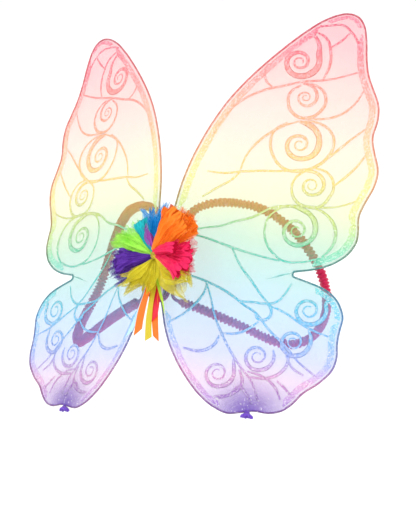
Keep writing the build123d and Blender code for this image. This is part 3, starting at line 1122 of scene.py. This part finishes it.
PETALS = [
    Petal("blue_tulle", "blue", 88, 118, 64, 8, 15, Tip.SPIKE, Side.LEFT, 4),
    Petal("lime_tulle", "lime", 138, 162, 62, 4, 20, Tip.RAGGED, Side.LEFT, 3),
    Petal("purple_tulle", "purple", 172, 214, 58, 6, 22, Tip.RAGGED, Side.LEFT, 3),
    Petal("yellow_tulle_left", "yellow", 219, 240, 52, 3, 17, Tip.SPIKE, Side.LEFT, 3),
    Petal("yellow_tulle_right", "yellow", 308, 346, 72, 3, 32, Tip.SPIKE, Side.RIGHT, 8, 12),
    Petal("orange_tulle_back", "orange", 26, 74, 58, 6, 15, Tip.LOOP, Side.RIGHT, 4),
    Petal("turquoise_tulle", "turquoise", 112, 130, 42, 3, 9, Tip.LOOP, Side.LEFT, 3),
    Petal("lilac_tulle", "lilac", 104, 116, 36, 2, 9, Tip.SPIKE, Side.RIGHT, 3),
    Petal("orange_tulle_loops", "orange", 14, 72, 54, 5, 18, Tip.LOOP, Side.RIGHT, 6, 4),
    Petal("crimson_tulle", "crimson", 324, 370, 56, 7, 16, Tip.LOOP, Side.RIGHT, 5),
    Petal("lime_tulle_front", "lime", 142, 162, 51, 3, 15, Tip.RAGGED, Side.LEFT, 4),
    Petal("purple_tulle_front", "purple", 178, 210, 44, 5, 14, Tip.LOOP, Side.LEFT, 4),
    Petal("yellow_tulle_centre", "yellow", 218, 292, 46, 6, 15, Tip.SPIKE, Side.LEFT, 4),
    Petal("pink_tulle", "crimson", 350, 372, 40, 2, 12, Tip.LOOP, Side.RIGHT, 5),
]
TULLE_COLOURS: dict[str, Colour] = {
    "blue": (0.0, 0.36, 0.80), "turquoise": (0.0, 0.48, 0.52), "lilac": (0.36, 0.05, 0.42),
    "lime": (0.36, 0.86, 0.08), "purple": (0.09, 0.012, 0.32), "yellow": (0.62, 0.54, 0.01),
    "orange": (1.0, 0.20, 0.0), "crimson": (0.80, 0.0, 0.09), "pink": (0.92, 0.06, 0.18),
}


@dataclass
class Rosette:
    """Fourteen bunches of tulle, all pinched at the tie."""

    fx: Effects
    keep: float = 0.24

    def strip(self, petal: Petal, index: float, tip: Tip, luck: random.Random, root: float,
              lean: float) -> bmesh.types.BMesh:
        """One crumpled strip, from the tie outwards.

        Args:
            petal: the bunch it belongs to.
            index: its place in the fan.
            tip: how it ends.
            luck: the bunch's own random numbers.
            root: how far forward it leaves the tie, in metres.
            lean: how far forward its tip is from there, in metres.

        Returns:
            Its mesh.
        """
        share = (index + 0.5) / petal.strips
        margin = math.degrees(0.28 * petal.width / petal.reach)
        lie = blend_values(petal.first + margin, petal.last - margin, share)
        angle = math.radians(lie + luck.uniform(-2, 2))
        reach = petal.reach * MM * (luck.uniform(0.97, 1.06) if index % 1 else luck.uniform(0.90, 1.03))
        half = petal.width * MM / 2 * luck.uniform(0.85, 1.1)
        pleats, phase = luck.choice((2, 2.5, 3)), luck.uniform(0, math.tau)
        seed = luck.uniform(0, 50)
        curl = math.radians(luck.uniform(-9, 9))
        layer = root + lean * 0.25 * ((round(index) % 2) + luck.uniform(0, 0.8))
        skew = luck.uniform(-0.5, 0.5)
        folded = tip is Tip.LOOP

        def place(across: float, along: float) -> Vector:
            """A point of the strip, in the frame."""
            t = 2 * across - 1
            if folded:
                turn = math.pi * along
                out, lift = math.sin(turn) ** 0.8, petal.puff * MM * (0.5 - 0.5 * math.cos(turn))
                spread = math.sin(turn) ** 0.55
            else:
                out, lift, spread = along, 0.0, soft_step(-0.05, 0.55, along)
            wide = half * (0.10 + 0.90 * spread)
            if tip is Tip.SPIKE:
                wide *= 1 - 0.88 * soft_step(0.55, 1.0, along) * (0.9 + 0.1 * t * skew)
            fray = 0.0
            if not folded:
                edge = rough(t * 4 + seed, seed) * 0.09 + rough(t * 17, seed) * 0.05 + skew * t * 0.16
                fray = edge * soft_step(0.5, 1.0, along)
            radius = 3.2 * MM + (reach - 3.2 * MM) * out * (1 + fray)
            bend = angle + curl * out * out
            ripple = 0.9 * rough(out * 5 + seed, t * 1.4, seed) * half * 0.45
            side = wide * (t - 0.16 * math.sin(pleats * math.pi * t + phase)) + ripple * out
            pleat = (0.30 * wide + 0.5 * MM) * math.cos(pleats * math.pi * t + phase) * (0.25 + 0.75 * out)
            crush = half * 0.22 * rough(out * 5 + seed, t * 2.1, seed + 9) * out
            depth = layer + lean * out + lift - petal.puff * MM * 0.25 + pleat + crush
            depth = max(root - 1.2 * MM, min(root + lean + petal.puff * MM, depth))
            c, s = math.cos(bend), math.sin(bend)
            return Vector((PINCH.x + radius * c - side * s, -depth, PINCH.z + radius * s + side * c))

        bm = mapped_grid(30, 72 if folded else 44, place)
        if folded:
            cloth = bm.loops.layers.uv["cloth"]
            for face in bm.faces:
                for loop in face.loops:
                    loop[cloth].uv.y = 0.5 * math.sin(math.pi * loop[cloth].uv.y)
        return bm

    def bunch(self, petal: Petal, material: bpy.types.Material) -> bpy.types.Object:
        """All the strips of one bunch as one piece that stands for its CAD petal."""
        luck = random.Random(sum(map(ord, petal.node)))
        low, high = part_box(petal.node)
        root = -high.y + petal.lift * MM
        lean = max(1.5 * MM, high.y - low.y - 1.6 * MM)
        bm = bmesh.new()
        strips = [(float(i), petal.tip) for i in range(petal.strips)]
        if petal.tip is Tip.LOOP:
            strips += [(i + 0.5, Tip.RAGGED) for i in range(petal.strips - 1)]
        for index, tip in strips:
            join_into(bm, self.strip(petal, index, tip, luck, root, lean))
        area = sum(f.calc_area() for f in bm.faces)
        piece = from_bmesh(f"{petal.node}_bunch", bm, material)
        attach(piece, "hub")
        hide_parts(petal.node)
        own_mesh(piece)
        return piece

    def build(self) -> None:
        """Make every bunch."""
        nets = {
            word: Tulle(f"{word} tulle", colour, 0.72 if word in ("blue", "lime") else 0.82).material(self.fx)
            for word, colour in TULLE_COLOURS.items()
        }
        for petal in PETALS:
            piece = self.bunch(petal, nets[petal.colour])
            log.info("%s: %d faces", piece.name, len(piece.data.polygons))


# ---------------------------------------------------------------------- ribbons
@dataclass(frozen=True)
class Ribbon:
    """One hanging satin ribbon; places in millimetres, the cut as a slope."""

    node: str
    colour: str
    top: float
    end: Point
    width: float
    cut: float
    curl: float
    side: Side


RIBBONS = [
    Ribbon("pale_blue_ribbon", "pale_blue", 3.6, (-15, -90), 7.6, 0.9, 0.1, Side.LEFT),
    Ribbon("orange_ribbon_right", "orange", 6.0, (17, -95), 8.0, -0.8, 0.7, Side.RIGHT),
    Ribbon("red_ribbon", "red", 6.0, (15, -74), 8.0, 1.1, -0.6, Side.RIGHT),
    Ribbon("yellow_ribbon", "yellow", 5.0, (10, -96), 7.0, 0.7, 0.5, Side.RIGHT),
    Ribbon("orange_ribbon_left", "orange", 4.4, (-4, -89), 8.5, 1.0, 0.6, Side.LEFT),
    Ribbon("lime_ribbon", "lime", 6.4, (23, -64), 4.6, -2.4, -0.8, Side.RIGHT),
]
SATIN_COLOURS: dict[str, Colour] = {
    "orange": (0.95, 0.15, 0.0), "pale_blue": (0.45, 0.72, 0.85), "yellow": (0.56, 0.44, 0.01),
    "red": (0.70, 0.004, 0.03), "lime": (0.42, 0.66, 0.03),
}


@dataclass
class RibbonBunch:
    """Six satin ribbons hanging from the tie."""

    fx: Effects
    top: float = -7.4 * MM
    keep: float = 0.3

    def hang(self, ribbon: Ribbon, material: bpy.types.Material) -> bpy.types.Object:
        """One ribbon: creased at the tie, curling a little, cut at a slant."""
        low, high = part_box(ribbon.node)
        seed = len(ribbon.node) + ribbon.width
        depth = (low.y + high.y) / 2
        length = self.top - ribbon.end[1] * MM

        def place(across: float, along: float) -> Vector:
            """A point of the ribbon, in the frame."""
            t = 2 * across - 1
            down = along * length
            half = ribbon.width * MM / 2 * (0.35 + 0.65 * soft_step(0.0, 0.28, along))
            twist = ribbon.curl * (0.9 * math.sin(2.4 * math.pi * along + seed) * along)
            wave = 1.0 * MM * math.sin(2.0 * math.pi * along + seed) * soft_step(0.1, 0.6, along)
            crease = 0.9 * MM * (1 - soft_step(0, 0.3, along)) * math.cos(2.5 * math.pi * t)
            cup = 0.10 * half * t * t * math.sin(5 * along + seed)
            middle = blend_values(ribbon.top * MM, ribbon.end[0] * MM, along ** 1.1)
            middle += 1.6 * MM * math.sin(1.7 * math.pi * along + seed) * along
            slant = ribbon.cut * half * t * soft_step(0.7, 1.0, along)
            return Vector((
                middle + half * t * math.cos(twist),
                depth + 0.62 * half * t * math.sin(twist) + 0.35 * wave + 0.4 * crease + cup,
                self.top - down + slant,
            ))

        bm = mapped_grid(12, 90, place)
        area = sum(f.calc_area() for f in bm.faces)
        piece = from_bmesh(f"{ribbon.node}_strip", bm, material)
        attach(piece, "ribbons")
        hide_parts(ribbon.node)
        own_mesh(piece)
        return piece

    def build(self) -> None:
        """Make every ribbon."""
        satins = {w: Satin(f"{w} satin ribbon", c).material(self.fx) for w, c in SATIN_COLOURS.items()}
        for ribbon in RIBBONS:
            piece = self.hang(ribbon, satins[ribbon.colour])
            log.info("%s: %d faces", piece.name, len(piece.data.polygons))


# ----------------------------------------------------------------------- straps
STRAP_ROUTE = [
    (18, -4.4, 36), (18, -4.4, 50), (29, 5, 69), (47, 14, 77), (67, 26, 80), (86, 41, 80), (104, 59, 73),
    (121, 78, 59), (136, 95, 39), (147, 106, 15), (155, 104, -12), (158, 95, -36), (154, 83, -57),
    (144, 70, -71), (130, 57, -76), (113, 45, -72), (93, 35, -64), (72, 24, -57), (51, 13, -51),
    (31, 3, -46), (25, 0, -44.8),
]


@dataclass
class Strap:
    """One shoulder strap: a satin sleeve ruched over elastic."""

    side: Side
    satin: bpy.types.Material
    half_width: float = 5.6 * MM
    half_thick: float = 4.8 * MM
    gather: float = 4.6 * MM
    around: int = 36
    spacing: float = 0.85 * MM

    def route(self) -> list[Vector]:
        """Evenly spaced points along the strap's smooth middle line."""
        data = bpy.data.curves.new("route", "CURVE")
        data.dimensions = "3D"
        data.resolution_u = 24
        spline = data.splines.new("NURBS")
        spline.points.add(len(STRAP_ROUTE) - 1)
        for point, (x, y, z) in zip(spline.points, STRAP_ROUTE):
            point.co = (self.side.value * x * MM, y * MM, z * MM, 1.0)
        spline.order_u = 3
        spline.use_endpoint_u = True
        holder = bpy.data.objects.new("route", data)
        line = [v.co.copy() for v in bpy.data.meshes.new_from_object(holder).vertices]
        bpy.data.objects.remove(holder)
        walked = [0.0]
        for a, b in zip(line, line[1:]):
            walked.append(walked[-1] + (b - a).length)
        count, spots, k = int(walked[-1] / self.spacing), [], 0
        for i in range(count + 1):
            d = walked[-1] * i / count
            while k < len(line) - 2 and walked[k + 1] < d:
                k += 1
            share = (d - walked[k]) / max(1e-9, walked[k + 1] - walked[k])
            spots.append(line[k].lerp(line[k + 1], min(1.0, share)))
        return spots

    def sleeve(self) -> bpy.types.Object:
        """Ruched tube, flat against the shoulder and drawn in at both ends."""
        spots = self.route()
        last = len(spots) - 1
        length = self.spacing * last
        centre = sum(spots, Vector()) / len(spots)
        phase = [0.0]
        for i in range(last):
            pitch = self.gather * (1 + 0.35 * rough(i * 0.06, self.side.value * 3.1))
            phase.append(phase[-1] + math.tau * self.spacing / pitch)

        def place(across: float, along: float) -> Vector:
            """A point of the sleeve, in the frame."""
            i = round(along * last)
            here = spots[i]
            run = (spots[min(last, i + 1)] - spots[max(0, i - 1)]).normalized()
            out = here - centre
            out = (out - run * out.dot(run)).normalized()
            flat = run.cross(out)
            turn = math.tau * across
            c, s = math.cos(turn), math.sin(turn)
            ridge = 0.5 + 0.5 * math.sin(phase[i] + 1.1 * rough(c * 1.3, s * 1.3, i * 0.03) * 2.4)
            puff = 0.54 + 0.52 * ridge ** 0.7 + 0.14 * rough(c * 2, s * 2, i * 0.11)
            ends = soft_step(0, 5, min(i, last - i) * self.spacing / MM)
            wide = blend_values(2.3 * MM, self.half_width * puff, ends)
            thick = blend_values(2.3 * MM, self.half_thick * puff, ends)
            square = (abs(c) ** 2.6 + abs(s) ** 2.6) ** (-1 / 2.6)
            return here + flat * wide * c * square + out * thick * s * square

        bm = mapped_grid(self.around, last, place)
        bmesh.ops.remove_doubles(bm, verts=bm.verts, dist=1e-6)
        bmesh.ops.recalc_face_normals(bm, faces=bm.faces)
        area = sum(f.calc_area() for f in bm.faces)
        piece = from_bmesh(f"{self.side.word}_strap_sleeve", bm, self.satin)
        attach(piece, f"{self.side.word}_strap")
        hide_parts(f"{self.side.word}_strap_cover")
        log.info("%s: %d faces over %.3f m", piece.name, len(piece.data.polygons), length)
        return piece


# -------------------------------------------------------------------------- hub
@dataclass
class Hub:
    """Felt pad, board, wadding, thread bindings and tie at the wearer's back."""

    fx: Effects
    thread_radius: float = 0.5 * MM

    def wind(self, name: str, node: str, material: bpy.types.Material, centre: Vector, size: Point,
             run: float, turns: float, axis: str = "Z", layers: int = 2) -> bpy.types.Object:
        """Thread wound in layers round an oval.

        Args:
            name: the piece's name.
            node: the CAD node it stands for.
            material: the thread's finish.
            centre: middle of the winding.
            size: half sizes of the oval, across and deep.
            run: length of the winding along its axis.
            turns: turns in each layer.
            axis: the axis it goes round, Z or Y.
            layers: how many layers, one inside the other.

        Returns:
            The finished piece.
        """
        winding = Swept(round_section(6), upright=False)
        for layer in range(layers):
            shrink = layer * 1.7 * self.thread_radius
            spots = []
            count = int(turns * 12)
            for i in range(count + 1):
                turn = math.tau * i / 12 + layer * 2.0
                share = i / count if layer % 2 == 0 else 1 - i / count
                wobble = 0.25 * self.thread_radius * rough(i * 0.7, layer * 5.0, centre.z * 90)
                wide = size[0] - self.thread_radius - shrink + wobble
                deep = size[1] - self.thread_radius - shrink + wobble
                along = (share - 0.5) * (run - 2 * self.thread_radius)
                flat = (wide * math.cos(turn), deep * math.sin(turn))
                step = Vector((flat[0], flat[1], along)) if axis == "Z" else Vector((flat[0], along, flat[1]))
                spots.append(centre + step)
            winding.add(spots, [self.thread_radius] * len(spots))
        bm = winding.faces()
        bmesh.ops.recalc_face_normals(bm, faces=bm.faces)
        piece = from_bmesh(name, bm, material)
        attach(piece, "hub")
        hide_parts(node)
        return piece

    def block(self, node: str, crown: float, corner: float) -> bmesh.types.BMesh:
        """A soft block the size of a CAD node, rounded at its edges and crowned.

        Args:
            node: the node whose box it fills.
            crown: how far its edges are drawn in, in metres.
            corner: radius of its corners seen from the front, in metres.

        Returns:
            The block's mesh.
        """
        low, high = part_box(node)
        middle, half = (low + high) / 2, (high - low) / 2
        bm = bmesh.new()
        bmesh.ops.create_cube(bm, size=2.0)
        bmesh.ops.scale(bm, vec=half, verts=bm.verts)
        upright = [e for e in bm.edges if abs((e.verts[0].co - e.verts[1].co).y) > half.y]
        bmesh.ops.bevel(bm, geom=upright, offset=corner, segments=8, profile=0.5, material=-1, affect="EDGES")
        rim = [e for e in bm.edges if e.calc_face_angle(0) > 1.0]
        bmesh.ops.bevel(bm, geom=rim, offset=crown, segments=4, profile=0.5, material=-1, affect="EDGES")
        bmesh.ops.translate(bm, vec=middle, verts=bm.verts)
        return bm

    def pad(self, felt: bpy.types.Material, thread: bpy.types.Material) -> None:
        """Felt pad with a row of stitches round its edge on the wearer's side."""
        bm = self.block("back_pad", 1.4 * MM, 11 * MM)
        piece = from_bmesh("felt_back_pad", bm, felt)
        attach(piece, "hub")
        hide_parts("back_pad")
        low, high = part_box("back_pad")
        ring = Outline([
            (p.x * 1000, p.y * 1000) for p in (
                Vector((low.x + 2.6 * MM, low.z + 8 * MM)), Vector((low.x + 2.6 * MM, high.z - 8 * MM)),
                Vector((low.x + 8 * MM, high.z - 2.6 * MM)), Vector((high.x - 8 * MM, high.z - 2.6 * MM)),
                Vector((high.x - 2.6 * MM, high.z - 8 * MM)), Vector((high.x - 2.6 * MM, low.z + 8 * MM)),
                Vector((high.x - 8 * MM, low.z + 2.6 * MM)), Vector((low.x + 8 * MM, low.z + 2.6 * MM)),
            )
        ])
        stitch = Swept([(-1, 0), (-0.6, 0.7), (0.6, 0.7), (1, 0), (0, -0.5)], upright=False)
        count = int(ring.length / (4.2 * MM))
        for level, sign in ((high.y, 1), (low.y, -1)):
            for i in range(count):
                ends = [ring.at(ring.length * (i + k) / count) for k in (0.12, 0.4, 0.68)]
                lift = (-0.4, 0.35, -0.4)
                stitch.add([(p.x, level + sign * h * MM, p.y) for p, h in zip(ends, lift)],
                           [0.55 * MM] * 3)
        bm = stitch.faces()
        bmesh.ops.recalc_face_normals(bm, faces=bm.faces)
        stitches = from_bmesh("pad_edge_stitches", bm, thread)
        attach(stitches, "hub")

    def cushion(self, wadding: bpy.types.Material) -> None:
        """Wadding between the board and the wires, pinched where thread crosses it."""
        bm = self.block("spine_cushion", 2.0 * MM, 4 * MM)
        bmesh.ops.subdivide_edges(bm, edges=bm.edges, cuts=2, use_grid_fill=True)
        low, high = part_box("spine_cushion")
        for vert in bm.verts:
            front = soft_step(high.y, low.y, vert.co.y)
            pinch = sum(math.exp(-((vert.co.z - z * MM) / (5 * MM)) ** 2) for z in (-19, 0, 19))
            vert.co.y += 1.4 * MM * front * pinch
            vert.co.x *= 1 - 0.08 * pinch
            vert.co += 0.15 * MM * Vector((rough(vert.co.z * 300, vert.co.y * 300), 0, 0))
        piece = from_bmesh("wadding_cushion", bm, wadding)
        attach(piece, "hub")
        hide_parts("spine_cushion")

    def build(self) -> None:
        """Make the pieces and dress the CAD nodes that stay."""
        thread = Fibrous("binding thread", (0.55, 0.30, 0.52), 2600, 0.4, 0.6, 0.3).material(self.fx)
        pale = Fibrous("stitching thread", (0.90, 0.50, 0.72), 2600, 0.4, 0.6, 0.2).material(self.fx)
        tie = Fibrous("yellow tie thread", (0.56, 0.46, 0.02), 2600, 0.4, 0.6, 0.2).material(self.fx)
        felt = Fibrous("felt", (0.58, 0.03, 0.20), 520, 1.0, 0.95, 0.15, 0.35).material(self.fx)
        board = Fibrous("covered board", (0.55, 0.42, 0.52), 400, 0.3, 0.7, 0.1, 0.8).material(self.fx)
        wadding = Fibrous("wadding", (0.80, 0.74, 0.76), 500, 1.0, 0.95, 0.4, 0.75).material(self.fx)
        tape = Fibrous("woven tape", (0.60, 0.05, 0.20), 1500, 0.5, 0.7, 0.3).material(self.fx)
        elastic = Fibrous("elastic cord", (0.55, 0.02, 0.14), 1800, 0.5, 0.7, 0.3).material(self.fx)
        self.pad(felt, pale)
        self.cushion(wadding)
        for word in ("upper", "middle", "lower"):
            low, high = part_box(f"{word}_root_binding")
            self.wind(f"{word}_thread_binding", f"{word}_root_binding", thread, (low + high) / 2,
                      ((high.x - low.x) / 2, (high.y - low.y) / 2), high.z - low.z, 6)
        low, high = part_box("centre_tie")
        self.wind("rosette_tie_winding", "centre_tie", tie, (low + high) / 2,
                  ((high.x - low.x) / 2, (high.z - low.z) / 2), high.y - low.y, 12, "Y", 4)
        dress("spine_board", board)
        dress("rosette_base", felt)
        for side in Side:
            dress(f"{side.word}_strap_elastic", elastic)
            dress(f"{side.word}_upper_strap_keeper", tape)
            dress(f"{side.word}_lower_strap_keeper", tape)
        log.info("hub: pad, stitches, cushion, bindings and tie")


# ----------------------------------------------------------------------- studio
@dataclass
class Studio:
    """Plain pale room, soft lights and the camera."""

    azimuth: float = 28.8
    elevation: float = -18.0
    roll: float = 8.5
    lens: float = 96.9
    stand: tuple[float, float, float] = (0.05522, -0.0022, 1.54)

    def camera(self) -> bpy.types.Object:
        """The camera, low on the right and tilted."""
        az, el, roll = (math.radians(a) for a in (self.azimuth, self.elevation, self.roll))
        back = Vector((math.sin(az) * math.cos(el), -math.cos(az) * math.cos(el), math.sin(el)))
        level = Vector((math.cos(az), math.sin(az), 0.0))
        above = back.cross(level)
        right = level * math.cos(roll) + above * math.sin(roll)
        up = above * math.cos(roll) - level * math.sin(roll)
        across, high, away = self.stand
        spot = Vector((0, ROOT_Y, 0)) + right * across + up * high + back * away
        data = bpy.data.cameras.new("camera")
        data.lens, data.sensor_width, data.clip_start = self.lens, 36.0, 0.01
        camera = bpy.data.objects.new("camera", data)
        camera.matrix_world = Matrix.Translation(spot) @ Matrix((right, up, back)).transposed().to_4x4()
        bpy.context.scene.collection.objects.link(camera)
        bpy.context.scene.camera = camera
        return camera

    def room(self) -> None:
        """Round floor that sweeps up into a pale wall all round."""
        profile = [(0.0, -1.1), (3.2, -1.1)]
        profile += [(3.2 + 0.8 * math.sin(a * 0.157), -0.3 - 0.8 * math.cos(a * 0.157)) for a in range(1, 11)]
        profile += [(4.0, 3.6)]
        bm = bmesh.new()
        verts = [bm.verts.new((x, 0.0, z)) for x, z in profile]
        edges = [bm.edges.new(pair) for pair in zip(verts, verts[1:])]
        bmesh.ops.spin(bm, geom=verts + edges, cent=(0, 0, 0), axis=(0, 0, 1), angle=math.tau, steps=96,
                       use_merge=True)
        bmesh.ops.remove_doubles(bm, verts=bm.verts, dist=1e-4)
        shader = Shader("plain backdrop", Base_Color=(0.80, 0.80, 0.80, 1.0), Roughness=0.9)
        shader.bsdf.inputs["Emission Color"].default_value = (1.0, 1.0, 1.0, 1.0)
        shader.bsdf.inputs["Emission Strength"].default_value = 0.36
        from_bmesh("backdrop", bm, shader.material)

    def lamp(self, name: str, place: Sequence[float], power: float, size: float) -> None:
        """One soft square light aimed at the hub.

        Args:
            name: the light's name.
            place: where it is, in metres.
            power: its power in watts.
            size: its side, in metres.
        """
        data = bpy.data.lights.new(name, "AREA")
        data.energy, data.size, data.shape = power, size, "SQUARE"
        light = bpy.data.objects.new(name, data)
        turned = Vector(place).to_track_quat("Z", "Y").to_matrix().to_4x4()
        light.matrix_world = Matrix.Translation(place) @ turned
        bpy.context.scene.collection.objects.link(light)

    def build(self) -> None:
        """Set up the room, the lights and the camera."""
        world = bpy.data.worlds.new("soft fill")
        world.use_nodes = True
        world.node_tree.nodes["Background"].inputs[0].default_value = (1.0, 1.0, 1.0, 1.0)
        world.node_tree.nodes["Background"].inputs[1].default_value = 0.35
        bpy.context.scene.world = world
        self.room()
        bpy.context.scene.view_settings.view_transform = "Standard"
        self.lamp("key light", (-0.7, -2.2, 1.3), 24, 0.9)
        self.lamp("fill light", (2.1, -1.5, 0.2), 16, 1.4)
        self.lamp("back light", (-0.6, 2.2, 1.6), 12, 1.8)
        self.camera()


def main() -> None:
    """Build the wings piece by piece."""
    logging.basicConfig(level=logging.INFO, format="%(name)s: %(message)s")
    Studio().build()
    fx = Effects()
    cloth, paint, rim = SheerStocking().material(fx), GlitterPaint().material(fx), DyedRim().material(fx)
    knot_cloth = Fibrous("violet stocking", (0.14, 0.035, 0.55), 1500, 0.6, 0.6, 0.4).material(fx)
    thread = Fibrous("violet thread", (0.16, 0.06, 0.42), 2600, 0.4, 0.6, 0.3).material(fx)
    # the strap satin gets a weaker painted glow than the ribbons
    satin = Satin("ruched strap satin", (0.62, 0.004, 0.075), (40.0, 900.0), painted_glow=0.05).material(fx)
    for side in Side:
        Wing(side, fx, paint, cloth, rim, knot_cloth, thread).build()
        Strap(side, satin).sleeve()
    Hub(fx).build()
    Rosette(fx).build()
    RibbonBunch(fx).build()


if __name__ == "__main__":
    main()
